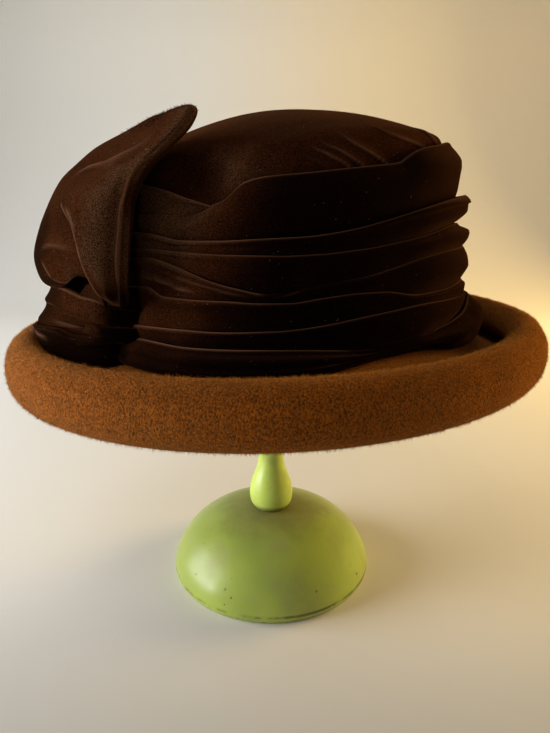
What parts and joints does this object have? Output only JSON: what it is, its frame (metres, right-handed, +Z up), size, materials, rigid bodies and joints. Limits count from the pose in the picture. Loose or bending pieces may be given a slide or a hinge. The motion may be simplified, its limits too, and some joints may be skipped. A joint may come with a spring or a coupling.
{
  "type": "breton hat on hat stand",
  "caption": "Felt hat with a rolled upturned brim, pleated velvet crown and two-loop velvet bow, on a plain turned wooden hat stand.",
  "frame": {"origin": "middle of the stand's flat foot, on the surface it stands on", "axes": "+Z up along the stand's stem; the hat's left front, where the bow sits, faces -X and -Y; the side shown faces -Y, with +X to its right"},
  "size_m": [0.3043, 0.296, 0.286],
  "materials": {
    "brown_felt": "velour felt with a brushed nap",
    "dark_velvet": "short-pile velvet, dark with a warm sheen",
    "green_paint": "gloss paint on turned wood, worn"
  },
  "bodies": {
    "root": {"brim": "brown_felt", "crown": "dark_velvet", "side_drape": "dark_velvet", "upper_loop": "dark_velvet", "lower_loop": "dark_velvet", "stand_base": "green_paint", "stand_stem": "green_paint", "stand_cap": "green_paint"}
  },
  "joints": []
}
